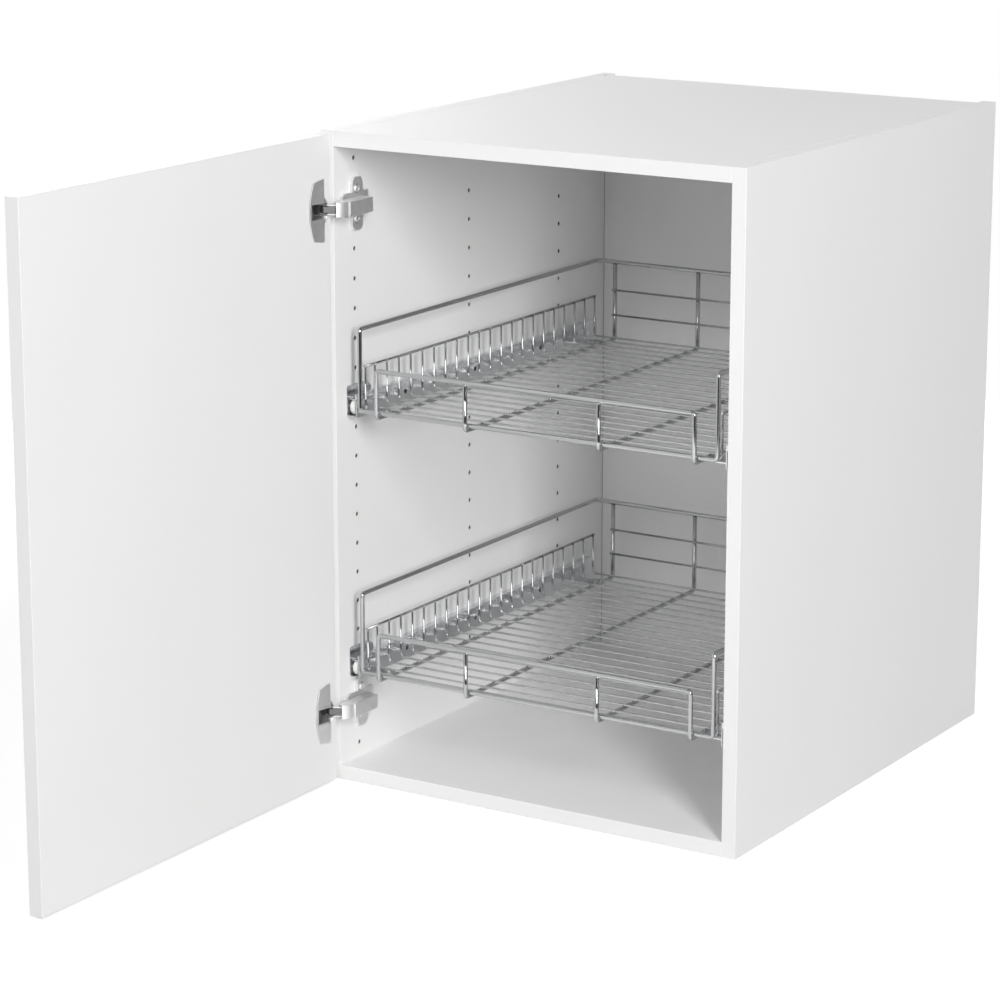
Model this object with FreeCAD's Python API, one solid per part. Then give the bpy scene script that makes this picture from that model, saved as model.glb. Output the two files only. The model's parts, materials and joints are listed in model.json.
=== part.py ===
import FreeCAD, Part
import math
import os
from FreeCAD import Vector

# Kitchen base cabinet: carcass, door on two concealed hinges, two pull-out wire baskets.
# Millimetres. u runs from the outer left face, d from the front edge to the back, z up.
# The origin is the middle of the carcass underside: X = u - width / 2, Y = d - depth / 2.
# The stored pose has the door open by 90 degrees and both baskets pushed in.

# Carcass
width = 500.0
depth = 580.0
height = 704.0
board = 16.0
softEdge = 0.6
shelfDepth = 564.0
backThickness = 8.0
backFront = 556.0
grooveDepth = 6.0
grooveSlack = 0.1
dowelRadius = 4.0
dowelSlack = 0.05
dowelLength = 30.0
dowelInSide = 12.0
dowelDepths = (40.0, 200.0, 380.0, 530.0)

# System holes in the sides, on the 32 mm grid
grid = 32.0
systemRadius = 2.5
systemDrill = 13.0
systemRows = ((37.0, 1, 21), (261.0, 3, 19), (453.0, 3, 18))
frontRow = 37.0

# Door, open by 90 degrees
doorWidth = 497.0
doorHeight = 700.0
doorThickness = 16.0
doorBottom = 2.0
doorGap = 7.0

# Hinge: places in the plan are pairs of u and the distance v in front of the carcass
hingeHeights = {"upper": 624.0, "lower": 80.0}
cupRadius = 17.5
cupDepth = 12.5
cupWall = 1.0
cupFloor = 0.8
cupSlack = 0.05
cupFromEdge = 20.5
flangeThickness = 1.6
flangeHalf = 33.5
flangeNear = 12.2
flangeFar = 38.0
flangeEndFar = 30.5
flangeSlant = 3.0
flangeSlotHalf = 8.1
flangeSlotEnd = 34.5
hoodOutline = ((16.0, 20.0), (17.5, 20.0), (17.5, 23.0), (21.0, 24.0), (17.6, 40.5), (16.0, 41.0))
hoodLayer = (8.2, 9.3)
lugPlan = ((4.1, 11.9), (11.6, 16.1))
armNotch = (5.0, 9.0, 13.2, 5.8)
cupDowelDepth = 10.5
cupDowelRadius = 5.0
cupDowelHeight = 26.0
cupDowelFromEdge = 25.0
pinRadius = 1.25
pinSlack = 0.05
doorPole = (6.25, 11.75)
pivotArmOuter = (26.0, 8.0)
pivotArmInner = (29.5, 3.5)
outerFromPole = 4.0
innerFromPole = 8.5
cupSlot = (-0.4, 1.6)
cupSlotSlack = 0.28
linkBend = (17.5, 13.6)
linkEye = 2.0
linkSlotEye = 2.0
linkHalf = 1.8
outerLayer = (4.2, 5.5)
innerLayer = 3.2
cheekLayer = (6.2, 7.7)
lugLayer = (5.9, 7.2)
cupStubInner = 4.0
armStubInner = 3.7
innerAxle = 3.7
armRear = 43.0
armTop = 34.4
armBase = 20.3
armSheet = 1.4
armNose = ((34.4, 1.0), (31.0, 8.6), (27.0, 11.8))
armChin = ((23.5, 11.4), (21.8, 8.0), (20.3, 3.0))
armBowInside = ((26.1, 10.8), (29.9, 7.9), (33.0, 0.6))
capTop = 36.2
capWall = 0.6
capHalf = 7.9
capDepths = (1.0, 43.5)
capRim = 1.0
capEdge = 0.8
plateBase = 4.0
plateBody = (10.7, 58.4)
plateBodyHalf = 12.7
plateTaper = (5.0, 3.0)
plateWing = 38.5
plateWingHalf = 9.5
plateWingEnd = 28.0
plateCorner = 4.0
plateSlotHalf = 2.4
plateRailHalf = 5.9
plateRailTop = 24.0
plateRailEnds = (3.0, 8.0)
plateHeadRadius = 4.2
plateHeadHeight = 1.8
driveReach = 2.4
driveHalf = 0.5
driveDepth = 0.8
sideScrewDepth = 16.0
sideScrewTip = 24.1
sideScrewRadius = 2.0
sideScrewHead = 3.4
depthScrewDepth = 34.0
depthScrewTip = 18.6
depthScrewRadius = 2.2
depthScrewHead = 3.8
depthScrewTravel = 3.0
adjustHeadHeight = 1.0
adjustSlotHalf = 0.4
adjustSlotDepth = 0.5
boreSlack = 0.1
depthBoreSlack = 0.2

# Runner: w is the distance from the side panel, heights are from the runner's datum
runnerHeights = {"upper": 411.0, "lower": 123.0}
runnerFront = 19.0
runnerLength = 500.0
railSheet = 1.2
cabinetRailReach = 9.5
cabinetRailBottom = -12.4
cabinetRailTop = 9.6
tabTop = 20.4
tabEnd = 64.0
tabSlant = (8.0, 7.0)
tabCorner = 2.0
basketRailInner = 12.5
basketRailBottom = -13.0
basketRailTop = 12.0
basketFlange = 6.1
basketRailReach = 3.2
railHoleDepths = (113.4, 253.2, 393.0)
railHoleHeight = -1.0
railHoleRadius = 2.8
rollerPinRadius = 2.0
rollerSlack = 0.06
frontRollerRadius = 8.4
frontRollerPlace = (28.0, -2.6)
frontRollerSpan = (4.3, 9.9)
rearRollerRadius = 8.4
rearRollerPlace = (500.0, -2.5)
rearRollerSpan = (3.8, 9.8)
rollerRim = 0.5
pinHeadRadius = 3.2
frontPinGap = 0.2
frontPinHead = 0.5
rearPinGap = 0.1
rearPinHead = 0.45
runnerScrewHeight = 5.0
runnerScrewRows = (37.0, 261.0, 453.0)
screwShank = 2.45
screwDepth = 11.0
runnerHeadRadius = 3.2
runnerHeadHeight = 1.6

# Basket wire
thickRadius = 2.5
thinRadius = 1.25
fenceRailRadius = 1.5
weld = 0.2
tightBend = 3.6
postBend = 4.8
fenceBend = 5.0
loopSide = 35.8
loopFront = 16.0
loopBack = 508.0
loopLow = -3.5
loopHigh = 84.0
frontRailHeight = 42.5
outerPost = 59.6
innerPost = 170.0
fenceSide = 36.0
fenceTop = 42.5
fenceFront = 25.9
floorFirst = 43.6
floorLast = 501.4
floorCount = 21
rearWireHeights = (22.0, 51.5)
rearWireReach = 58.0

# Brackets between basket wire and basket rail
bracketSheet = 1.5
bracketPlaces = ((27.0, 49.0), (468.0, 492.0))
bracketTop = 5.0
bracketHoleHeight = -2.5
bracketHoleRadius = 2.0


def cupPivot(armPivot, fromPole):
    # the place on the door that lies alike to the pole and the arm's pivot open and closed
    turn = math.atan2(armPivot[1] - doorPole[1], armPivot[0] - doorPole[0]) + math.pi / 4
    return (doorPole[0] + fromPole * math.cos(turn), doorPole[1] + fromPole * math.sin(turn))


pivotCupOuter = cupPivot(pivotArmOuter, outerFromPole)
pivotCupInner = cupPivot(pivotArmInner, innerFromPole)


def at(u, d, z):
    return Vector(u - width / 2, d - depth / 2, z)


def box(u0, u1, d0, d1, z0, z1):
    return Part.makeBox(u1 - u0, d1 - d0, z1 - z0, at(u0, d0, z0))


def softBox(u0, u1, d0, d1, z0, z1):
    block = box(u0, u1, d0, d1, z0, z1)
    return block.makeFillet(softEdge, block.Edges)


def roundAcross(u0, u1, d, z, radius):
    return Part.makeCylinder(radius, u1 - u0, at(u0, d, z), Vector(1, 0, 0))


def roundUp(u, d, z0, z1, radius):
    return Part.makeCylinder(radius, z1 - z0, at(u, d, z0), Vector(0, 0, 1))


def face(points):
    return Part.Face(Part.makePolygon(points + points[:1]))


def plate(outline, u0, u1):
    # outline in d and z
    points = [at(u0, d, z) for d, z in outline]
    return face(points).extrude(Vector(u1 - u0, 0, 0))


def profile(outline, d0, d1):
    # outline in u and z
    points = [at(u, d0, z) for u, z in outline]
    return face(points).extrude(Vector(0, d1 - d0, 0))


def planPrism(outline, z0, z1):
    # outline in u and v
    points = [at(u, -v, z0) for u, v in outline]
    return face(points).extrude(Vector(0, 0, z1 - z0))


def join(shapes):
    first, rest = shapes[0], shapes[1:]
    return first.multiFuse(rest).removeSplitter() if rest else first


def group(shapes):
    return Part.makeCompound(shapes)


def mirrored(shape):
    return shape.mirror(Vector(0, 0, 0), Vector(1, 0, 0))


def bothSides(shape):
    return [shape, mirrored(shape)]


def bentWire(route, radius, bends):
    # a round wire along straight runs, with a bend radius for each corner
    points = [at(*place) for place in route]
    edges = []
    start = points[0]
    for before, corner, after, bend in zip(points, points[1:], points[2:], bends):
        arrive = (corner - before).normalize()
        leave = (after - corner).normalize()
        half = arrive.getAngle(leave) / 2
        inward = (leave - arrive).normalize()
        setback = bend * math.tan(half)
        centre = corner + inward * (bend / math.cos(half))
        arcStart = corner - arrive * setback
        arcEnd = corner + leave * setback
        edges.append(Part.LineSegment(start, arcStart).toShape())
        edges.append(Part.Arc(arcStart, centre - inward * bend, arcEnd).toShape())
        start = arcEnd
    edges.append(Part.LineSegment(start, points[-1]).toShape())
    heading = points[1] - points[0]
    section = Part.Wire(Part.makeCircle(radius, points[0], heading))
    return Part.Wire(edges).makePipeShell([section], True, False)


def export(name, shape):
    if not shape.isValid():
        print("NOT VALID", name)
    shape.exportStep("parts/" + name + ".step")
    print(name, len(shape.Solids), "solids", round(shape.Volume / 1000, 2), "cm3")


def dowelHeights():
    return (board / 2, height - board / 2)


def dowels(radius, slack):
    # dowels of the left joints, from the side panel into the top and bottom panels
    start = board - dowelInSide
    pegs = []
    for z in dowelHeights():
        for d in dowelDepths:
            pegs.append(roundAcross(start - slack, start + dowelLength + slack, d, z, radius))
    return pegs


def sidePanel():
    panel = softBox(0, board, 0, depth, 0, height)
    cuts = []
    for d, first, last in systemRows:
        for k in range(first, last + 1):
            cuts.append(roundAcross(board - systemDrill, board + 1, d, k * grid, systemRadius))
    cuts += dowels(dowelRadius + dowelSlack, dowelSlack)
    backRear = backFront + backThickness + grooveSlack
    cuts.append(box(board - grooveDepth - grooveSlack, board + 1, backFront, backRear, -1, height + 1))
    return panel.cut(group(cuts))


def shelfPanel(z0):
    panel = softBox(board, width - board, 0, shelfDepth, z0, z0 + board)
    bores = []
    for peg in dowels(dowelRadius + dowelSlack, dowelSlack):
        bores += bothSides(peg)
    return panel.cut(group(bores))


def carcass():
    side = sidePanel()
    export("left_side_panel", side)
    export("right_side_panel", mirrored(side))
    export("bottom_panel", shelfPanel(0))
    export("top_panel", shelfPanel(height - board))
    reach = board - grooveDepth
    back = box(reach, width - reach, backFront, backFront + backThickness, board, height - board)
    export("back_panel", back)
    pegs = []
    for peg in dowels(dowelRadius, 0):
        pegs += bothSides(peg)
    export("panel_dowels", group(pegs))


def cupPlan():
    return doorGap + cupFromEdge


def door():
    near = doorGap
    panel = softBox(0, doorThickness, -near - doorWidth, -near, doorBottom, doorBottom + doorHeight)
    cuts = []
    for z in hingeHeights.values():
        bottom = doorThickness - cupDepth - cupSlack
        cuts.append(roundAcross(bottom, doorThickness + 1, -cupPlan(), z, cupRadius + cupSlack))
        for dowel in cupDowels(z, cupSlack):
            cuts.append(dowel)
    export("door_panel", panel.cut(group(cuts)))


def cupDowels(z, slack):
    place = -(doorGap + cupDowelFromEdge)
    pegs = []
    for side in (-1, 1):
        peg = roundAcross(doorThickness - cupDowelDepth - slack, doorThickness, place,
                          z + side * cupDowelHeight, cupDowelRadius + slack)
        pegs.append(peg)
    return pegs


def strap(start, end, half, z0, z1):
    # a flat bar with round ends between two places in the plan
    run = Vector(end[0] - start[0], end[1] - start[1], 0)
    side = Vector(-run.y, run.x, 0).normalize() * half
    outline = [(start[0] + side.x, start[1] + side.y), (end[0] + side.x, end[1] + side.y),
               (end[0] - side.x, end[1] - side.y), (start[0] - side.x, start[1] - side.y)]
    bar = planPrism(outline, z0, z1)
    ends = [roundUp(u, -v, z0, z1, half) for u, v in (start, end)]
    return join([bar] + ends)


def pin(place, z0, z1, radius):
    return roundUp(place[0], -place[1], z0, z1, radius)


def bothLayers(layer, make, z):
    low, high = layer
    return [make(z + low, z + high), make(z - high, z - low)]


def mountingPlate(z):
    front, rear = plateBody
    top = board + plateBase
    along, across = plateTaper
    shoulder, half = front + along, plateBodyHalf
    spine = plate([(front, z - half + across), (shoulder, z - half), (rear, z - half),
                   (rear, z + half), (shoulder, z + half), (front, z + half - across)], board, top)
    left, right = plateWing - plateWingHalf, plateWing + plateWingHalf
    low, high, corner = z - plateWingEnd, z + plateWingEnd, plateCorner
    wings = plate([(left + corner, low), (right - corner, low), (right, low + corner),
                   (right, high - corner), (right - corner, high), (left + corner, high),
                   (left, high - corner), (left, low + corner)], board, top)
    railFront, railRear = front + plateRailEnds[0], rear - plateRailEnds[1]
    rail = box(board, plateRailTop, railFront, railRear, z - plateRailHalf, z + plateRailHalf)
    hole = systemRadius + boreSlack
    cuts = [roundAcross(board, plateRailTop + 1, depthScrewDepth, z, depthScrewRadius + boreSlack)]
    for side in (-1, 1):
        middle = z + side * grid / 2
        for end in (-plateSlotHalf, plateSlotHalf):
            cuts.append(roundAcross(board - 1, top + 1, frontRow, middle + end, hole))
        cuts.append(box(board - 1, top + 1, frontRow - hole, frontRow + hole,
                        middle - plateSlotHalf, middle + plateSlotHalf))
    return join([spine, wings, rail]).cut(group(cuts))


def plateScrews(z):
    top = board + plateBase
    screws = []
    for side in (-1, 1):
        middle = z + side * grid / 2
        shank = roundAcross(board - screwDepth, top, frontRow, middle, screwShank)
        crown = top + plateHeadHeight
        head = roundAcross(top, crown, frontRow, middle, plateHeadRadius)
        drives = []
        for along, up in ((driveReach, driveHalf), (driveHalf, driveReach)):
            drives.append(box(crown - driveDepth, crown + 1, frontRow - along, frontRow + along,
                              middle - up, middle + up))
        screws.append(join([shank, head]).cut(group(drives)))
    return screws


def hingeArm(z):
    outline = [(armBase, -armRear), (armTop, -armRear)] + list(armNose + armChin)
    cheeks = bothLayers(cheekLayer, lambda low, high: planPrism(outline, low, high), z)
    inside = cheekLayer[0]
    web = box(armTop - armSheet, armTop, -1.0, armRear, z - inside, z + inside)
    bow = planPrism(armNose + armBowInside, z - inside, z + inside)
    cuts = [roundAcross(armTop - 2, armTop + 1, sideScrewDepth, z, sideScrewRadius + boreSlack)]
    slotFront, slotRear = depthScrewDepth - depthScrewTravel, depthScrewDepth + depthScrewTravel
    slotHalf = depthScrewRadius + depthBoreSlack
    for place in (slotFront, slotRear):
        cuts.append(roundAcross(armTop - 2, armTop + 1, place, z, slotHalf))
    cuts.append(box(armTop - 2, armTop + 1, slotFront, slotRear, z - slotHalf, z + slotHalf))
    reach = cheekLayer[1]
    for place in (pivotArmOuter, pivotArmInner):
        cuts.append(pin(place, z - reach, z + reach, pinRadius))
    return join(cheeks + [web, bow]).cut(group(cuts))


def coverCap(z):
    front, rear = capDepths
    shell = box(armTop, capTop, front, rear, z - capHalf, z + capHalf)
    topX = at(capTop, 0, 0).x
    shell = shell.makeFillet(capEdge, [e for e in shell.Edges if e.CenterOfMass.x > topX - 0.01])
    inside = capHalf - capRim
    return shell.cut(box(armTop - 1, capTop - capWall, front + capRim, rear - capRim, z - inside, z + inside))


def adjustingScrew(place, z, tip, shankRadius, headRadius):
    headTop = armTop + adjustHeadHeight
    shank = roundAcross(tip, armTop, place, z, shankRadius)
    head = roundAcross(armTop, headTop, place, z, headRadius)
    slot = box(headTop - adjustSlotDepth, headTop + 1, place - headRadius - 1, place + headRadius + 1,
               z - adjustSlotHalf, z + adjustSlotHalf)
    return join([shank, head]).cut(slot)


def armPins(z):
    high = cheekLayer[1]
    stubs = bothLayers((armStubInner, high), lambda z0, z1: pin(pivotArmOuter, z0, z1, pinRadius), z)
    return stubs + [pin(pivotArmInner, z - high, z + high, pinRadius)]


def cupStubs(z):
    return bothLayers((cupStubInner, lugLayer[1]), lambda z0, z1: pin(pivotCupOuter, z0, z1, pinRadius), z)


def towards(start, end, length):
    run = Vector(end[0] - start[0], end[1] - start[1], 0).normalize() * length
    return (start[0] + run.x, start[1] + run.y)


def outerLinks(z):
    # the eye at the cup is a slot, which leaves room for the pin on the way between open and closed
    slotStart, slotEnd = [towards(pivotCupOuter, pivotArmOuter, length) for length in cupSlot]

    def makePlate(z0, z1):
        bars = [strap(start, end, linkHalf, z0, z1)
                for start, end in ((pivotArmOuter, linkBend), (linkBend, pivotCupOuter))]
        eye = pin(pivotArmOuter, z0, z1, linkEye)
        slotEye = strap(slotStart, slotEnd, linkSlotEye, z0, z1)
        hole = pin(pivotArmOuter, z0, z1, pinRadius + pinSlack)
        slot = strap(slotStart, slotEnd, pinRadius + cupSlotSlack, z0, z1)
        return join(bars + [eye, slotEye]).cut(hole).cut(slot)

    return group(bothLayers(outerLayer, makePlate, z))


def innerLink(z):
    z0, z1 = z - innerLayer, z + innerLayer
    bar = strap(pivotArmInner, pivotCupInner, linkHalf, z0, z1)
    eye = pin(pivotArmInner, z0, z1, linkEye)
    axle = pin(pivotCupInner, z - innerAxle, z + innerAxle, pinRadius)
    hole = pin(pivotArmInner, z0, z1, pinRadius + pinSlack)
    return join([bar, eye, axle]).cut(hole)


def flangeOutline(z):
    # straight edge near the hinge side, bulging edge on the other, ends cut on the slant
    near, far, endFar = doorGap + flangeNear, doorGap + flangeFar, doorGap + flangeEndFar
    tip = flangeHalf - flangeSlant
    top = at(doorThickness, -near, z + flangeHalf)
    topFar = at(doorThickness, -endFar, z + tip)
    lowFar = at(doorThickness, -endFar, z - tip)
    low = at(doorThickness, -near, z - flangeHalf)
    edges = [Part.LineSegment(low, top).toShape(), Part.LineSegment(top, topFar).toShape(),
             Part.Arc(topFar, at(doorThickness, -far, z), lowFar).toShape(),
             Part.LineSegment(lowFar, low).toShape()]
    return Part.Face(Part.Wire(edges))


def hingeCup(z):
    surface, floor = doorThickness, doorThickness - cupDepth
    middle = -cupPlan()
    pot = roundAcross(floor, surface, middle, z, cupRadius)
    flange = flangeOutline(z).extrude(Vector(flangeThickness, 0, 0))
    cheeks = bothLayers(hoodLayer, lambda low, high: planPrism(hoodOutline, low, high), z)
    low, clear, inside = floor + cupFloor, surface + cupDepth, cupRadius - cupWall
    cavity = roundAcross(low, clear, middle, z, inside)
    nearRoom = box(low, clear, -(doorGap + flangeNear), 0, z - cupRadius, z + cupRadius)
    slot = box(low, clear, -(doorGap + flangeSlotEnd), 0, z - flangeSlotHalf, z + flangeSlotHalf)
    under = roundAcross(low, surface, middle, z, inside)
    room = join([under, cavity.common(nearRoom), cavity.common(slot)])
    notchFloor, notchNear, notchFar, notchHalf = armNotch
    notch = box(notchFloor, surface + 1, -notchFar, -notchNear, z - notchHalf, z + notchHalf)
    body = join([pot, flange] + cheeks).cut(group([room, notch]))
    (u0, v0), (u1, v1) = lugPlan
    lug = [(u0, v0), (u1, v0), (u1, v1), (u0, v1)]
    lugs = bothLayers(lugLayer, lambda z0, z1: planPrism(lug, z0, z1), z)
    reach = lugLayer[1]
    return join([body] + lugs).cut(pin(pivotCupOuter, z - reach, z + reach, pinRadius))


def hinges():
    screws, caps, fixedPins, cupPins, dowelPegs = [], [], [], [], []
    for name, z in hingeHeights.items():
        export(name + "_mounting_plate", mountingPlate(z))
        export(name + "_hinge_arm", hingeArm(z))
        export(name + "_hinge_cup", hingeCup(z))
        export(name + "_outer_links", outerLinks(z))
        export(name + "_inner_link", innerLink(z))
        sideScrew = adjustingScrew(sideScrewDepth, z, sideScrewTip, sideScrewRadius, sideScrewHead)
        export(name + "_side_adjust_screw", sideScrew)
        depthScrew = adjustingScrew(depthScrewDepth, z, depthScrewTip, depthScrewRadius, depthScrewHead)
        export(name + "_depth_adjust_screw", depthScrew)
        screws += plateScrews(z)
        caps.append(coverCap(z))
        fixedPins += armPins(z)
        cupPins += cupStubs(z)
        dowelPegs += cupDowels(z, 0)
    export("plate_screws", group(screws))
    export("hinge_cover_caps", group(caps))
    export("arm_pins", group(fixedPins))
    export("cup_pins", group(cupPins))
    export("cup_dowels", group(dowelPegs))


def cabinetRail(base):
    low, high = base + cabinetRailBottom, base + cabinetRailTop
    inner, reach = board + railSheet, board + cabinetRailReach
    outline = [(board, low), (reach, low), (reach, low + railSheet), (inner, low + railSheet),
               (inner, high - railSheet), (reach, high - railSheet), (reach, high), (board, high)]
    rail = profile(outline, runnerFront, runnerFront + runnerLength)
    along, drop = tabSlant
    foot, top = high - railSheet, base + tabTop
    tab = plate([(runnerFront, foot), (runnerFront, top - tabCorner), (runnerFront + tabCorner, top),
                 (tabEnd - along, top), (tabEnd, top - drop), (tabEnd, foot)], board, inner)
    rail = join([rail, tab])
    cuts = []
    for d in runnerScrewRows:
        cuts.append(roundAcross(board - 1, inner + 1, d, base + runnerScrewHeight, systemRadius + boreSlack))
    d, z = frontRollerPlace
    cuts.append(roundAcross(board - 1, inner + 1, d, base + z, rollerPinRadius))
    return rail.cut(group(cuts))


def basketRail(base):
    low, high = base + basketRailBottom, base + basketRailTop
    inner = board + basketRailInner
    hem, shelf, reach = inner - 2 * railSheet, base + basketFlange, board + basketRailReach
    outline = [(inner - railSheet, low), (inner, low), (inner, high), (hem, high), (hem, shelf + railSheet),
               (reach, shelf + railSheet), (reach, shelf), (inner - railSheet, shelf)]
    rail = profile(outline, runnerFront + 1, runnerFront + 1 + runnerLength)
    cuts = []
    for d in railHoleDepths:
        cuts.append(roundAcross(inner - 3, inner + 1, d, base + railHoleHeight, railHoleRadius))
    d, z = rearRollerPlace
    cuts.append(roundAcross(inner - 3, inner + 1, d, base + z, rollerPinRadius))
    return rail.cut(group(cuts))


def roller(span, place, radius, base):
    d, z = place
    start, end = board + span[0], board + span[1]
    wheel = roundAcross(start, end, d, base + z, radius)
    wheel = wheel.makeFillet(rollerRim, [e for e in wheel.Edges if len(e.Vertexes) == 1])
    return wheel.cut(roundAcross(start, end, d, base + z, rollerPinRadius + rollerSlack))


def frontPin(base):
    d, z = frontRollerPlace
    end = board + frontRollerSpan[1] + frontPinGap
    shank = roundAcross(board, end, d, base + z, rollerPinRadius)
    return join([shank, roundAcross(end, end + frontPinHead, d, base + z, pinHeadRadius)])


def rearPin(base):
    d, z = rearRollerPlace
    start = board + rearRollerSpan[0] - rearPinGap
    end = board + basketRailInner
    shank = roundAcross(start, end, d, base + z, rollerPinRadius)
    return join([shank, roundAcross(start - rearPinHead, start, d, base + z, pinHeadRadius)])


def runnerScrew(d, z):
    inner = board + railSheet
    shank = roundAcross(board - screwDepth, inner, d, z, screwShank)
    head = roundAcross(inner, inner + runnerHeadHeight, d, z, runnerHeadRadius)
    return join([shank, head])


def runners():
    pins, screws = [], []
    for name, base in runnerHeights.items():
        left = cabinetRail(base)
        export(name + "_left_cabinet_rail", left)
        export(name + "_right_cabinet_rail", mirrored(left))
        moving = basketRail(base)
        export(name + "_left_basket_rail", moving)
        export(name + "_right_basket_rail", mirrored(moving))
        front = roller(frontRollerSpan, frontRollerPlace, frontRollerRadius, base)
        export(name + "_front_rollers", group(bothSides(front)))
        rear = roller(rearRollerSpan, rearRollerPlace, rearRollerRadius, base)
        export(name + "_rear_rollers", group(bothSides(rear)))
        export(name + "_rear_roller_pins", group(bothSides(rearPin(base))))
        pins += bothSides(frontPin(base))
        for d in runnerScrewRows:
            screws += bothSides(runnerScrew(d, base + runnerScrewHeight))
    export("front_roller_pins", group(pins))
    export("runner_screws", group(screws))


def supportHeight():
    return loopLow - 2 * thickRadius + weld


def floorHeight():
    return supportHeight() + thickRadius + thinRadius - weld


def postFront():
    return loopFront - 2 * thickRadius + weld


def wholeFromHalf(route, bends, base):
    # one wire through the middle of the basket, made of a right half and its mirror image
    route = [(u, d, base + z) for u, d, z in route]
    half = bentWire(route, thickRadius, bends)
    return join(bothSides(half))


def tallLoop(base):
    middle, side = width / 2, width - loopSide
    route = [(middle, loopFront, loopLow), (side, loopFront, loopLow), (side, loopFront, loopHigh),
             (side, loopBack, loopHigh), (middle, loopBack, loopHigh)]
    return wholeFromHalf(route, (tightBend, tightBend, tightBend), base)


def frontRailWire(base):
    middle, side = width / 2, width - outerPost
    low, front = supportHeight(), postFront()
    top = loopHigh - thickRadius + weld
    route = [(middle, front, frontRailHeight), (side, front, frontRailHeight), (side, front, low),
             (side, loopBack, low), (side, loopBack, top)]
    return wholeFromHalf(route, (tightBend, postBend, postBend), base)


def supportWires(base):
    low, front = base + supportHeight(), postFront()
    postTop = base + frontRailHeight - thickRadius + weld
    backTop = base + loopHigh - thickRadius + weld
    wire = bentWire([(innerPost, front, postTop), (innerPost, front, low), (innerPost, loopBack, low),
                     (innerPost, loopBack, backTop)], thickRadius, (postBend, postBend))
    return group(bothSides(wire))


def floorPlaces():
    step = (floorLast - floorFirst) / (floorCount - 1)
    return [fenceFront] + [floorFirst + i * step for i in range(floorCount)]


def floorWires(base):
    start = fenceSide + fenceBend
    z = base + floorHeight()
    return group([roundAcross(start, width - start, d, z, thinRadius) for d in floorPlaces()])


def fence(base):
    low, high = base + floorHeight(), base + fenceTop
    wires = []
    for d in floorPlaces():
        start = at(fenceSide + fenceBend, d, low)
        arcEnd = at(fenceSide, d, low + fenceBend)
        turn = fenceBend * math.sqrt(0.5)
        arcMiddle = at(fenceSide + fenceBend - turn, d, low + fenceBend - turn)
        arc = Part.Arc(start, arcMiddle, arcEnd).toShape()
        rise = Part.LineSegment(arcEnd, at(fenceSide, d, high)).toShape()
        section = Part.Wire(Part.makeCircle(thinRadius, start, Vector(-1, 0, 0)))
        wires.append(Part.Wire([arc, rise]).makePipeShell([section], True, False))
    first, last = floorPlaces()[0], floorPlaces()[-1]
    start = at(fenceSide, first - fenceRailRadius, high)
    rail = Part.makeCylinder(fenceRailRadius, last - first + 2 * fenceRailRadius, start, Vector(0, 1, 0))
    return join([rail] + wires)


def rearWires(base):
    d = loopBack - thickRadius - thinRadius + weld
    return group([roundAcross(rearWireReach, width - rearWireReach, d, base + z, thinRadius)
                  for z in rearWireHeights])


def brackets(base):
    # angle pieces from the basket rail to the outer floor supports
    inner = board + basketRailInner
    middle = base + supportHeight()
    reach = outerPost - thickRadius + weld
    low, high = middle - bracketSheet / 2, middle + bracketSheet / 2
    pieces = []
    for d0, d1 in bracketPlaces:
        leg = box(inner, inner + bracketSheet, d0, d1, low, base + bracketTop)
        foot = box(inner, reach, d0, d1, low, high)
        hole = roundAcross(inner - 1, inner + bracketSheet + 1, (d0 + d1) / 2, base + bracketHoleHeight,
                           bracketHoleRadius)
        pieces += bothSides(join([leg, foot]).cut(hole))
    return group(pieces)


def baskets():
    for name, base in runnerHeights.items():
        export(name + "_basket_loop", tallLoop(base))
        export(name + "_front_rail_wire", frontRailWire(base))
        export(name + "_support_wires", supportWires(base))
        export(name + "_floor_wires", floorWires(base))
        side = fence(base)
        export(name + "_left_fence", side)
        export(name + "_right_fence", mirrored(side))
        export(name + "_rear_wires", rearWires(base))
        export(name + "_basket_brackets", brackets(base))


os.makedirs("parts", exist_ok=True)
carcass()
door()
hinges()
runners()
baskets()
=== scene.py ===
import bmesh
import bpy
import json
from math import cos, pi, radians, sin, tan
from mathutils import Matrix, Vector


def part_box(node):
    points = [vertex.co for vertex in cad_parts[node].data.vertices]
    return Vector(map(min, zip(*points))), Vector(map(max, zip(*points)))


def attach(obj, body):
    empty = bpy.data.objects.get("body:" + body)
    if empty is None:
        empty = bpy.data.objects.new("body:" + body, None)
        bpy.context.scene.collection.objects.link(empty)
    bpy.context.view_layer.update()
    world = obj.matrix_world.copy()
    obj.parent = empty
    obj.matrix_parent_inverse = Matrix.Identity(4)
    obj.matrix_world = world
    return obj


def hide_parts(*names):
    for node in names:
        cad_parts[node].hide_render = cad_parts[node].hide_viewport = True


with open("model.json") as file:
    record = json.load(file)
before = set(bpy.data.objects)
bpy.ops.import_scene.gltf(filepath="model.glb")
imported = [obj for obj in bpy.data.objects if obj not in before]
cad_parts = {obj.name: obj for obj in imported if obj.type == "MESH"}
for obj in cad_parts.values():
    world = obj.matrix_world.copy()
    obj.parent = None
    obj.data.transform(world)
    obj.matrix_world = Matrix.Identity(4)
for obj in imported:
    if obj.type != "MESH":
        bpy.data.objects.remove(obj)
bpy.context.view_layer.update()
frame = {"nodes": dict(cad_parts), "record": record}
record = frame["record"]
nodes = frame["nodes"]
mm = 0.001
slotOf = {part["node"]: part["material_slot"] for part in record["subparts"]}
bodyOf = {node: body for body, held in record["behaviour"]["bodies"].items() for node in held}
levels = ("upper", "lower")


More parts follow.
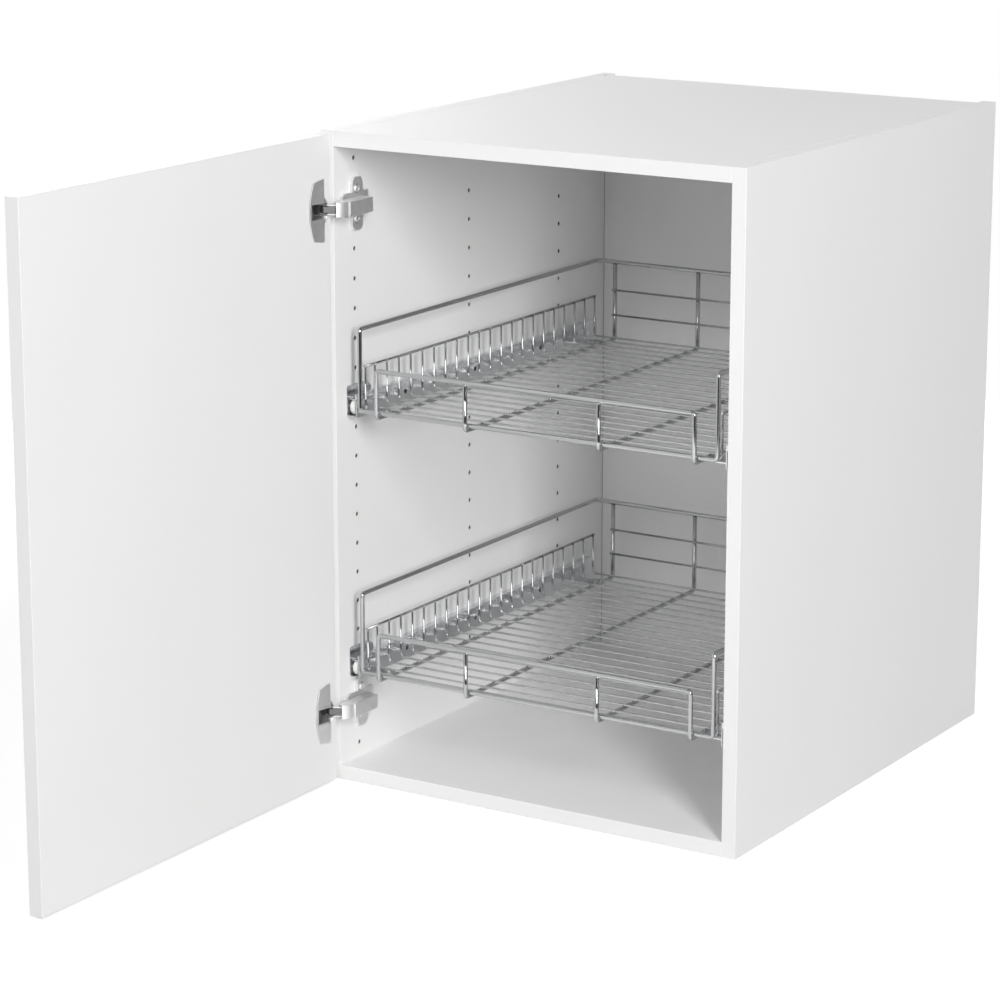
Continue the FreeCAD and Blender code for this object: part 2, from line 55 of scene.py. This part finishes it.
# Shader maths: a Value is a socket that takes part in expressions
class Value:
    def __init__(self, tree, socket):
        self.tree = tree
        self.socket = socket

    def maths(self, operation, first, second):
        node = self.tree.nodes.new("ShaderNodeMath")
        node.operation = operation
        for place, item in zip(node.inputs, (first, second)):
            if isinstance(item, Value):
                self.tree.links.new(item.socket, place)
            else:
                place.default_value = item
        return Value(self.tree, node.outputs[0])

    def __add__(self, other):
        return self.maths("ADD", self, other)

    def __radd__(self, other):
        return self.maths("ADD", other, self)

    def __sub__(self, other):
        return self.maths("SUBTRACT", self, other)

    def __rsub__(self, other):
        return self.maths("SUBTRACT", other, self)

    def __mul__(self, other):
        return self.maths("MULTIPLY", self, other)

    def __rmul__(self, other):
        return self.maths("MULTIPLY", other, self)

    def __gt__(self, other):
        return self.maths("GREATER_THAN", self, other)

    def __lt__(self, other):
        return self.maths("LESS_THAN", self, other)


class Finish:
    # nodes of one material or of the world
    def __init__(self, tree):
        self.tree = tree
        tree.nodes.clear()

    def node(self, kind, settings=None, sockets=None, outlet=0):
        made = self.tree.nodes.new("ShaderNode" + kind)
        for name, setting in (settings or {}).items():
            setattr(made, name, setting)
        for name, item in (sockets or {}).items():
            if isinstance(item, Value):
                self.tree.links.new(item.socket, made.inputs[name])
            else:
                made.inputs[name].default_value = item
        return Value(self.tree, made.outputs[outlet]) if made.outputs else made

    def ray(self, kind):
        return self.node("LightPath", outlet=kind)

    def objectPlace(self):
        return self.node("TexCoord", outlet="Object")

    def stretched(self, scale):
        return self.node("Mapping", {}, {"Vector": self.objectPlace(), "Scale": scale})

    def noise(self, place, scale, detail=2.0, roughness=0.5):
        return self.node("TexNoise", {}, {"Vector": place, "Scale": scale, "Detail": detail,
                                          "Roughness": roughness}, "Fac")

    def blend(self, mask, first, second):
        # colours mixed by a mask
        return self.node("Mix", {"data_type": "RGBA"}, {0: mask, 6: first, 7: second}, 2)

    def bump(self, height, distance, strength):
        return self.node("Bump", {}, {"Height": height, "Distance": distance, "Strength": strength})

    def surface(self, sockets):
        shader = self.node("BsdfPrincipled", {}, sockets)
        self.node("OutputMaterial", {}, {"Surface": shader})


def newFinish(name):
    material = bpy.data.materials.new(name)
    material.use_nodes = True
    return material, Finish(material.node_tree)


def shade(level, tint=(1, 1, 1)):
    return tuple(level * part for part in tint) + (1,)


def dress(piece, material):
    piece.data.materials.clear()
    piece.data.materials.append(material)


# Camera at the photograph's viewing angle
cameraSetup = {"place": (1.7966, -3.2037, 1.1946), "yaw": -0.56, "pitch": 0.2441,
               "lens": 124.0, "sensor": 36.0}


def addCamera():
    data = bpy.data.cameras.new("camera")
    data.lens = cameraSetup["lens"]
    data.sensor_width = cameraSetup["sensor"]
    camera = bpy.data.objects.new("camera", data)
    bpy.context.scene.collection.objects.link(camera)
    yaw, pitch = cameraSetup["yaw"], cameraSetup["pitch"]
    ahead = Vector((sin(yaw) * cos(pitch), cos(yaw) * cos(pitch), -sin(pitch)))
    camera.location = cameraSetup["place"]
    camera.rotation_mode = "QUATERNION"
    camera.rotation_quaternion = ahead.to_track_quat("-Z", "Y")
    bpy.context.scene.camera = camera
    print("camera: lens %.1f mm" % data.lens)


# White floor, a room that is white behind the cabinet and dim on the viewer's side for reflections,
# and a key, a rear and a front lamp
studio = {"floorRadius": 1.9, "floorSides": 96, "floorShade": 0.5, "floorLift": 0.66, "fadeFrom": 0.9,
          "fadeTo": 1.8, "roomLight": 0.29, "dimSide": (0.8, -0.5, 0.33), "dimFrom": 0.0, "dimTo": 0.45,
          "dimRoom": 0.04}
lamps = {
    "key": {"place": (3.15, -3.1, 2.05), "aim": (0, -0.2, 0.4), "size": (0.9, 2.6), "level": 0.73},
    "rear": {"place": (-5.0, 3.6, 2.2), "aim": (0, 0, 0.4), "size": (4.0, 3.0), "level": 0.65},
    "front": {"place": (0.6, -3.8, 2.3), "aim": (0, 0, 0.35), "size": (2.0, 1.6), "level": 0.12},
}


def newPiece(name, bm):
    mesh = bpy.data.meshes.new(name)
    bm.to_mesh(mesh)
    bm.free()
    piece = bpy.data.objects.new(name, mesh)
    bpy.context.scene.collection.objects.link(piece)
    return piece


def addFloor():
    bm = bmesh.new()
    bmesh.ops.create_circle(bm, cap_ends=True, segments=studio["floorSides"], radius=studio["floorRadius"])
    floor = newPiece("studio_floor", bm)
    material, finish = newFinish("studio floor")
    seen = finish.ray("Is Camera Ray") + finish.ray("Is Glossy Ray")
    paint = finish.node("BsdfDiffuse", {}, {"Color": shade(studio["floorShade"])})
    reach = finish.node("VectorMath", {"operation": "LENGTH"}, {0: finish.objectPlace()}, "Value")
    fade = finish.node("MapRange", {"interpolation_type": "SMOOTHSTEP"},
                       {"Value": reach, "From Min": studio["fadeFrom"], "From Max": studio["fadeTo"],
                        "To Min": studio["floorLift"], "To Max": 1.0})
    lift = finish.node("Emission", {}, {"Color": finish.blend(seen * fade, shade(0), shade(1))})
    both = finish.node("AddShader", {}, {0: paint, 1: lift})
    finish.node("OutputMaterial", {}, {"Surface": both})
    dress(floor, material)


def addRoom():
    world = bpy.data.worlds.new("studio")
    world.use_nodes = True
    bpy.context.scene.world = world
    room = Finish(world.node_tree)
    camera = room.ray("Is Camera Ray")
    gloss = room.ray("Is Glossy Ray") + room.ray("Is Transmission Ray")
    direction = room.node("TexCoord", outlet="Generated")
    side = room.node("VectorMath", {"operation": "DOT_PRODUCT"},
                     {0: direction, 1: studio["dimSide"]}, "Value")
    wall = room.node("MapRange", {"interpolation_type": "SMOOTHSTEP"},
                     {"Value": side, "From Min": studio["dimFrom"], "From Max": studio["dimTo"],
                      "To Min": 1.0, "To Max": studio["dimRoom"]})
    strength = camera + (1 - camera) * (gloss * wall + (1 - gloss) * studio["roomLight"])
    sky = room.node("Background", {}, {"Color": shade(1), "Strength": strength})
    room.node("OutputWorld", {}, {"Surface": sky})


def addLamps():
    for name, lamp in lamps.items():
        reach = Vector(lamp["aim"]) - Vector(lamp["place"])
        data = bpy.data.lights.new(name, "AREA")
        data.shape = "RECTANGLE"
        data.size, data.size_y = lamp["size"]
        data.energy = lamp["level"] * (pi * reach.length) ** 2   # at level 1 a colour shows as it is written
        holder = bpy.data.objects.new(name, data)
        holder.visible_camera = False
        holder.location = lamp["place"]
        holder.rotation_mode = "QUATERNION"
        holder.rotation_quaternion = reach.to_track_quat("-Z", "Y")
        bpy.context.scene.collection.objects.link(holder)
    print("studio: floor, room and %d lamps" % len(lamps))


# Melamine boards: fine pearl grain, a banded edge, and bare chipboard inside bores and grooves
board = {"white": 0.93, "darkTint": (1, 1, 0.995), "paleTint": (1, 1, 0.998), "mottle": 0.012,
         "mottleScale": 9, "mottleShare": 0.6, "mottleRough": 0.06, "grainScale": 1400, "grainShare": 0.4,
         "grainRough": 0.05, "grainDepth": 0.02 * mm, "grainRelief": 0.5, "roughness": 0.56, "specular": 0.3,
         "skin": 0.9 * mm, "bandDepth": 0.9 * mm, "bandJoint": 0.14 * mm, "jointShade": 0.86,
         # the two settings at the end of the next line: width and darkness of the painted shadow line on the
         # back panel
         "gapShadowWidth": 0.7 * mm, "paintedGapShadow": 0.3}
chipboard = {"dark": (0.09, 0.075, 0.06, 1), "pale": (0.30, 0.25, 0.19, 1), "chipScale": 700,
             "relief": 6, "rougher": 0.45}
bandedAxes = {"door_panel": (1, 2), "back_panel": ()}   # other boards are banded along the front


def boardFinish(node):
    material, finish = newFinish("melamine " + node.replace("_", " "))
    low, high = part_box(node)
    middle, half = (low + high) / 2, (high - low) / 2
    place = finish.objectPlace()
    away = finish.node("VectorMath", {"operation": "SUBTRACT"}, {0: place, 1: middle})
    away = finish.node("VectorMath", {"operation": "ABSOLUTE"}, {0: away})
    depths = [half[axis] - finish.node("SeparateXYZ", {}, {0: away}, axis) for axis in range(3)]
    core = (depths[0] > board["skin"]) * (depths[1] > board["skin"]) * (depths[2] > board["skin"])
    mottle = finish.noise(place, board["mottleScale"], detail=3)
    grain = finish.noise(place, board["grainScale"], detail=3, roughness=0.6)
    white = board["white"]
    paper = finish.blend(mottle * board["mottleShare"] + grain * board["grainShare"],
                         shade(white - board["mottle"], board["darkTint"]),
                         shade(white + board["mottle"], board["paleTint"]))
    for axis in bandedAxes.get(node, (1,)):
        inset = depths[axis] - board["bandDepth"]
        joint = (inset > 0) * (inset < board["bandJoint"])
        paper = finish.blend(joint, paper, shade(white * board["jointShade"]))
    if node == "back_panel":
        # painted shadow: a dark line on the back where it slides into the side panels, standing in for the
        # shade in that gap
        inset = depths[0] - (high.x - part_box("right_side_panel")[0].x)
        paper = finish.blend((inset > 0) * (inset < board["gapShadowWidth"]), paper, shade(board["paintedGapShadow"]))
    chips = finish.noise(place, chipboard["chipScale"], detail=4, roughness=0.7)
    raw = finish.blend(chips, chipboard["dark"], chipboard["pale"])
    colour = finish.blend(core, paper, raw)
    rough = core * chipboard["rougher"] + board["roughness"] + mottle * board["mottleRough"]
    rough = rough - grain * board["grainRough"]
    height = grain * (1 - core) + chips * core * chipboard["relief"]
    finish.surface({"Base Color": colour, "Roughness": rough, "Specular IOR Level": board["specular"],
                    "Normal": finish.bump(height, board["grainDepth"], board["grainRelief"])})
    return material


# Bright chrome on drawn wire
chrome = {"tone": (0.54, 0.545, 0.55), "dull": 0.93, "roughness": 0.07, "cloudScale": 55, "cloudRough": 0.06,
          "drawScale": 900, "drawDepth": 0.01 * mm, "drawRelief": 0.25}


def chromeFinish():
    material, finish = newFinish("bright chrome")
    place = finish.objectPlace()
    cloud = finish.noise(place, chrome["cloudScale"], detail=3)
    drawn = finish.noise(place, chrome["drawScale"], detail=3)
    colour = finish.blend(cloud, shade(chrome["dull"], chrome["tone"]), shade(1, chrome["tone"]))
    finish.surface({"Base Color": colour, "Metallic": 1.0,
                    "Roughness": chrome["roughness"] + cloud * chrome["cloudRough"],
                    "Normal": finish.bump(drawn, chrome["drawDepth"], chrome["drawRelief"])})
    return material


# Zinc plated runner steel, rolled along the runner
zinc = {"tone": (0.76, 0.77, 0.79), "dull": 0.86, "bright": 1.05, "roughness": 0.14, "cloudScale": 120,
        "cloudShare": 0.6, "cloudRough": 0.08, "alongRoll": (900, 14, 900), "rollShare": 0.4,
        "rollRough": 0.06, "rollDepth": 0.02 * mm, "rollRelief": 0.35}


def zincFinish():
    material, finish = newFinish("zinc plated steel")
    place = finish.objectPlace()
    rolled = finish.noise(finish.stretched(zinc["alongRoll"]), 1, detail=3, roughness=0.6)
    cloud = finish.noise(place, zinc["cloudScale"], detail=4)
    colour = finish.blend(cloud * zinc["cloudShare"] + rolled * zinc["rollShare"],
                          shade(zinc["dull"], zinc["tone"]), shade(zinc["bright"], zinc["tone"]))
    rough = zinc["roughness"] + cloud * zinc["cloudRough"] + rolled * zinc["rollRough"]
    finish.surface({"Base Color": colour, "Metallic": 1.0, "Roughness": rough,
                    "Normal": finish.bump(rolled, zinc["rollDepth"], zinc["rollRelief"])})
    return material


# Nickel plated hinge steel, tumbled before plating
# the link and cup tones are painted shade: dark tones for the inner link and for the cup's hollow
nickel = {"tone": (0.90, 0.90, 0.90), "linkShadeTone": (0.22, 0.22, 0.23), "cupShadeTone": (0.36, 0.36, 0.37),
          "dull": 0.88, "bright": 1.06, "roughness": 0.40, "cloudScale": 160, "cloudRough": 0.12,
          "pitScale": 2600, "pitDepth": 0.01 * mm, "pitRelief": 0.3, "cupShadeInset": 0.4 * mm}


def nickelFinish(name, tone, shadeBelow=None):
    material, finish = newFinish(name)
    place = finish.objectPlace()
    cloud = finish.noise(place, nickel["cloudScale"], detail=4)
    pits = finish.noise(place, nickel["pitScale"])
    colour = finish.blend(cloud, shade(nickel["dull"], tone), shade(nickel["bright"], tone))
    if shadeBelow is not None:
        # painted shade: the cup's hollow below the face of the door is coloured dark for the shade inside it
        inside = finish.node("SeparateXYZ", {}, {0: place}, 0) < shadeBelow
        colour = finish.blend(inside, colour, shade(1, nickel["cupShadeTone"]))
    finish.surface({"Base Color": colour, "Metallic": 1.0,
                    "Roughness": nickel["roughness"] + cloud * nickel["cloudRough"],
                    "Normal": finish.bump(pits, nickel["pitDepth"], nickel["pitRelief"])})
    return material


# Moulded plastics
plastics = {
    "roller_plastic": {"name": "white nylon", "tone": (0.86, 0.86, 0.84), "roughness": 0.38},
    "grey_plastic": {"name": "grey moulding", "tone": (0.55, 0.55, 0.55), "roughness": 0.5},
}
moulding = {"flowScale": 240, "flowRough": 0.1, "dull": 0.95, "bright": 1.02, "sparkScale": 3000,
            "sparkDepth": 0.015 * mm, "sparkRelief": 0.4}


def plasticFinish(kind):
    look = plastics[kind]
    material, finish = newFinish(look["name"])
    place = finish.objectPlace()
    flow = finish.noise(place, moulding["flowScale"], detail=3)
    spark = finish.noise(place, moulding["sparkScale"])
    colour = finish.blend(flow, shade(moulding["dull"], look["tone"]),
                          shade(moulding["bright"], look["tone"]))
    finish.surface({"Base Color": colour, "Roughness": look["roughness"] + flow * moulding["flowRough"],
                    "Normal": finish.bump(spark, moulding["sparkDepth"], moulding["sparkRelief"])})
    return material


# Beech dowels with grain along their length
beech = {"dark": (0.52, 0.36, 0.21, 1), "pale": (0.78, 0.62, 0.42, 1), "alongGrain": (40, 900, 900),
         "roughness": 0.6, "grainRough": 0.15, "grainDepth": 0.05 * mm, "grainRelief": 0.5}


def beechFinish():
    material, finish = newFinish("plain beech")
    grain = finish.noise(finish.stretched(beech["alongGrain"]), 1, detail=4, roughness=0.6)
    colour = finish.blend(grain, beech["dark"], beech["pale"])
    finish.surface({"Base Color": colour, "Roughness": beech["roughness"] + grain * beech["grainRough"],
                    "Normal": finish.bump(grain, beech["grainDepth"], beech["grainRelief"])})
    return material


finishes = {"chrome_wire": chromeFinish(), "runner_steel": zincFinish(), "dowel_wood": beechFinish(),
            "hinge_steel": nickelFinish("nickel plated steel", nickel["tone"])}
for kind in plastics:
    finishes[kind] = plasticFinish(kind)
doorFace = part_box("door_panel")[1].x
# painted shade: the inner link gets a dark copy of the nickel finish, for the shade inside the cup
linkSteelShaded = nickelFinish("link steel with painted shade", nickel["linkShadeTone"])
# painted shade inside the cup: the nickel is darkened below the face of the door
cupSteelShaded = nickelFinish("nickel plated cup", nickel["tone"], doorFace - nickel["cupShadeInset"])


def finishFor(name):
    if name.endswith("inner_link"):
        return linkSteelShaded
    if name.endswith("hinge_cup"):
        return cupSteelShaded
    return finishes.get(slotOf[name]) or boardFinish(name)


def dressNodes():
    for name, node in nodes.items():
        dress(node, finishFor(name))
    print("finishes: %d nodes dressed" % len(nodes))


# Pressed and moulded hardware: copies of the nodes with eased edges and rounded ends
hardware = {"sharp": radians(32), "flat": radians(0.5), "square": 0.99, "seam": 0.004 * mm,
            "steps": 2, "endSteps": 4, "proud": 0.1 * mm,
            "share": 0.6,   # of the next edge, the most that a rounded end takes
            "ease": {"hinge_steel": 0.2 * mm, "runner_steel": 0.18 * mm, "roller_plastic": 0.35 * mm,
                     "grey_plastic": 0.22 * mm},
            "ends": {"hinge_cup": (30 * mm, 2.4 * mm), "mounting_plate": (20 * mm, 1.7 * mm)}}


def easeEdges(bm, edges, width, steps):
    bmesh.ops.bevel(bm, geom=edges, offset=width, offset_type="OFFSET", affect="EDGES", segments=steps,
                    profile=0.5, material=-1, clamp_overlap=False, loop_slide=False)


def endCorners(bm, name, reach):
    # edges through the sheet at the top and bottom ends
    low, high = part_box(name)
    middle = (low.z + high.z) / 2
    corners = []
    for edge in bm.edges:
        start, stop = (corner.co for corner in edge.verts)
        along = (stop - start).normalized()
        bend = edge.calc_face_angle(0)
        across = abs(along.x) > hardware["square"]
        if across and abs(start.z - middle) > reach and bend > hardware["sharp"]:
            corners.append(edge)
    return corners


def onFlange(edge, name):
    # the outer edges of a cup that stand proud of the door
    low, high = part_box(name)
    start, stop = (corner.co for corner in edge.verts)
    outward = (start + stop - low - high) * Vector((0, 1, 1))
    facesOut = all(face.normal.dot(outward) > -hardware["seam"] for face in edge.link_faces)
    return edge.is_convex and facesOut and min(start.x, stop.x) > doorFace + hardware["proud"]


def easedPiece(name):
    slot = slotOf[name]
    bm = bmesh.new()
    bm.from_mesh(nodes[name].data)
    bmesh.ops.remove_doubles(bm, verts=bm.verts, dist=hardware["seam"])
    bmesh.ops.dissolve_limit(bm, angle_limit=hardware["flat"], use_dissolve_boundaries=False, verts=bm.verts,
                             edges=bm.edges, delimit=set())
    for kind, (reach, radius) in hardware["ends"].items():
        if name.endswith(kind):
            for corner in endCorners(bm, name, reach):
                beside = {edge for vert in corner.verts for edge in vert.link_edges if edge is not corner}
                room = min(edge.calc_length() for edge in beside)
                easeEdges(bm, [corner], min(radius, room * hardware["share"]), hardware["endSteps"])
    sharp = [edge for edge in bm.edges if edge.calc_face_angle(0) > hardware["sharp"]]
    if name.endswith("hinge_cup"):
        sharp = [edge for edge in sharp if onFlange(edge, name)]
    easeEdges(bm, sharp, hardware["ease"][slot], hardware["steps"])
    for face in bm.faces:
        face.smooth = True
    piece = newPiece("eased_" + name, bm)
    dress(piece, finishFor(name))
    piece.modifiers.new("even shading", "WEIGHTED_NORMAL")
    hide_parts(name)
    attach(piece, bodyOf[name])


def easeHardware():
    eased = [name for name in nodes if slotOf[name] in hardware["ease"]]
    for name in eased:
        easedPiece(name)
    print("hardware: %d pieces eased" % len(eased))


# Wire baskets: round wire drawn along straight runs and spun round each bend
# thick, thin and rail are the radii of the three gauges
wire = {"thick": 2.5 * mm, "thin": 1.25 * mm, "rail": 1.5 * mm, "sides": 16, "bendSteps": 6,
        "tightBend": 3.6 * mm, "postBend": 4.8 * mm, "fenceBend": 5.0 * mm, "seam": 0.01 * mm}
basket = {"frontRailDrop": 41.5 * mm, "firstGap": 17.7 * mm, "floorCount": 22, "weld": 0.2 * mm}
bead = {"cross": (1.75 * mm, 1.75 * mm, 0.8 * mm), "back": (1.75 * mm, 0.8 * mm, 1.75 * mm),
        "tip": (1.5 * mm, 1.55 * mm, 1.5 * mm), "tipInset": 0.8 * mm,
        "collar": (2.9 * mm, 2.9 * mm, 0.9 * mm), "sides": 8, "rings": 5}


def drawWire(bm, route, bends, radius):
    points = [Vector(place) for place in route]
    heading = (points[1] - points[0]).normalized()
    turn = heading.to_track_quat("Z", "Y").to_matrix().to_4x4()
    ring = bmesh.ops.create_circle(bm, cap_ends=True, radius=radius, segments=wire["sides"],
                                   matrix=Matrix.Translation(points[0]) @ turn)
    cap = ring["verts"][0].link_faces[0]
    here = points[0]
    for corner, after, bend in zip(points[1:], points[2:], bends):
        leave = (after - corner).normalized()
        angle = heading.angle(leave)
        setback = bend * tan(angle / 2)
        cap = drawRun(bm, cap, corner - heading * setback - here)
        centre = corner - heading * setback + (leave - heading * heading.dot(leave)).normalized() * bend
        spun = bmesh.ops.spin(bm, geom=[cap], cent=centre, axis=heading.cross(leave), dvec=(0, 0, 0),
                              angle=angle, steps=wire["bendSteps"], use_merge=False, use_duplicate=False)
        cap = next(item for item in spun["geom_last"] if isinstance(item, bmesh.types.BMFace))
        here = corner + leave * setback
        heading = leave
    drawRun(bm, cap, points[-1] - here)


def drawRun(bm, cap, run):
    drawn = bmesh.ops.extrude_face_region(bm, geom=[cap])["geom"]
    bmesh.ops.translate(bm, verts=[item for item in drawn if isinstance(item, bmesh.types.BMVert)], vec=run)
    return next(item for item in drawn if isinstance(item, bmesh.types.BMFace))


def addBead(bm, place, size):
    # a spot weld's rounded squeeze-out
    shape = Matrix.Translation(place) @ Matrix.Diagonal((*size, 1))
    bmesh.ops.create_uvsphere(bm, u_segments=bead["sides"], v_segments=bead["rings"], radius=1, matrix=shape)


def closeLoop(bm):
    # the two ends of a wire that comes back to its start
    ends = [face for face in bm.faces if len(face.verts) == wire["sides"]]
    bmesh.ops.delete(bm, geom=ends, context="FACES_ONLY")
    bmesh.ops.remove_doubles(bm, verts=bm.verts, dist=wire["seam"])


def clearBends(bm):
    # spin leaves the caps at both ends of a bend inside the wire
    inner = [face for face in bm.faces if all(len(edge.link_faces) > 2 for edge in face.edges)]
    bmesh.ops.delete(bm, geom=inner, context="FACES_ONLY")


def wirePiece(name, bm, *replaced):
    clearBends(bm)
    bmesh.ops.recalc_face_normals(bm, faces=bm.faces)
    for face in bm.faces:
        face.smooth = len(face.verts) < wire["sides"]   # cut ends stay flat
    piece = newPiece(name, bm)
    dress(piece, finishes["chrome_wire"])
    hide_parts(*replaced)
    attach(piece, bodyOf[replaced[0]])


def supportSides(level):
    sides = []
    for node in ("_support_wires", "_front_rail_wire"):
        low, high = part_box(level + node)
        sides += [low.x + wire["thick"], high.x - wire["thick"]]
    return sides


def frontRailHeight(level):
    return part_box(level + "_basket_loop")[1].z - wire["thick"] - basket["frontRailDrop"]


def basketLoop(level):
    low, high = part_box(level + "_basket_loop")
    r = wire["thick"]
    low, high = low + Vector((r, r, r)), high - Vector((r, r, r))
    corners = [(high.x, low.y, low.z), (high.x, low.y, high.z), (high.x, high.y, high.z),
               (low.x, high.y, high.z), (low.x, low.y, high.z), (low.x, low.y, low.z)]
    middle = (0, low.y, low.z)
    bm = bmesh.new()
    drawWire(bm, [middle] + corners + [middle], [wire["tightBend"]] * len(corners), r)
    closeLoop(bm)
    for x in supportSides(level):
        addBead(bm, (x, low.y, low.z - r), bead["collar"])
    wirePiece(level + "_loop_wire", bm, level + "_basket_loop")


def frontRail(level):
    low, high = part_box(level + "_front_rail_wire")
    r = wire["thick"]
    railHeight = frontRailHeight(level)
    front, back, bottom, side = low.y + r, high.y - r, low.z + r, high.x - r
    half = [(side, back, high.z), (side, back, bottom), (side, front, bottom), (side, front, railHeight)]
    bends = [wire["postBend"], wire["postBend"], wire["tightBend"]]
    route = half + [(-x, y, z) for x, y, z in reversed(half)]
    bm = bmesh.new()
    drawWire(bm, route, bends + bends[::-1], r)
    wirePiece(level + "_front_rail", bm, level + "_front_rail_wire")


def supportWires(level):
    low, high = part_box(level + "_support_wires")
    r = wire["thick"]
    railHeight = frontRailHeight(level)
    postTop = railHeight - r + basket["weld"]
    front, back, bottom = low.y + r, high.y - r, low.z + r
    bm = bmesh.new()
    for side in (low.x + r, high.x - r):
        route = [(side, front, postTop), (side, front, bottom), (side, back, bottom), (side, back, high.z)]
        drawWire(bm, route, [wire["postBend"]] * 2, r)
        addBead(bm, (side, front, railHeight - r), bead["collar"])
    wirePiece(level + "_floor_supports", bm, level + "_support_wires")


def floorDepths(level):
    low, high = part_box(level + "_floor_wires")
    first, last = low.y + wire["thin"], high.y - wire["thin"]
    second = first + basket["firstGap"]
    pitch = (last - second) / (basket["floorCount"] - 2)
    return [first] + [second + pitch * step for step in range(basket["floorCount"] - 1)]


def floorAndFence(level):
    # each floor wire turns up at both ends into the side fence
    low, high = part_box(level + "_left_fence")
    side = low.x + wire["rail"]
    bottom, top = low.z + wire["thin"], high.z - wire["rail"]
    bm = bmesh.new()
    for depth in floorDepths(level):
        route = [(side, depth, top), (side, depth, bottom), (-side, depth, bottom), (-side, depth, top)]
        drawWire(bm, route, [wire["fenceBend"]] * 2, wire["thin"])
        for x in supportSides(level):
            addBead(bm, (x, depth, bottom - wire["thin"]), bead["cross"])
        for x in (side + bead["tipInset"], -side - bead["tipInset"]):
            addBead(bm, (x, depth, top), bead["tip"])
    fences = [level + "_left_fence", level + "_right_fence"]
    wirePiece(level + "_floor_and_fence", bm, level + "_floor_wires", *fences)
    bm = bmesh.new()
    for x in (side, -side):
        drawWire(bm, [(x, low.y, top), (x, high.y, top)], [], wire["rail"])
    wirePiece(level + "_fence_rails", bm, *fences)


def rearWires(level):
    low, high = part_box(level + "_rear_wires")
    r = wire["thin"]
    bm = bmesh.new()
    for height in (low.z + r, high.z - r):
        drawWire(bm, [(low.x, low.y + r, height), (high.x, low.y + r, height)], [], r)
        for x in supportSides(level):
            addBead(bm, (x, high.y, height), bead["back"])
    wirePiece(level + "_back_wires", bm, level + "_rear_wires")


addCamera()
addFloor()
addRoom()
addLamps()
dressNodes()
easeHardware()
for level in levels:
    basketLoop(level)
    frontRail(level)
    supportWires(level)
    floorAndFence(level)
    rearWires(level)
    print("baskets: %s basket drawn" % level)

scene = bpy.context.scene
scene.view_settings.view_transform = "Standard"
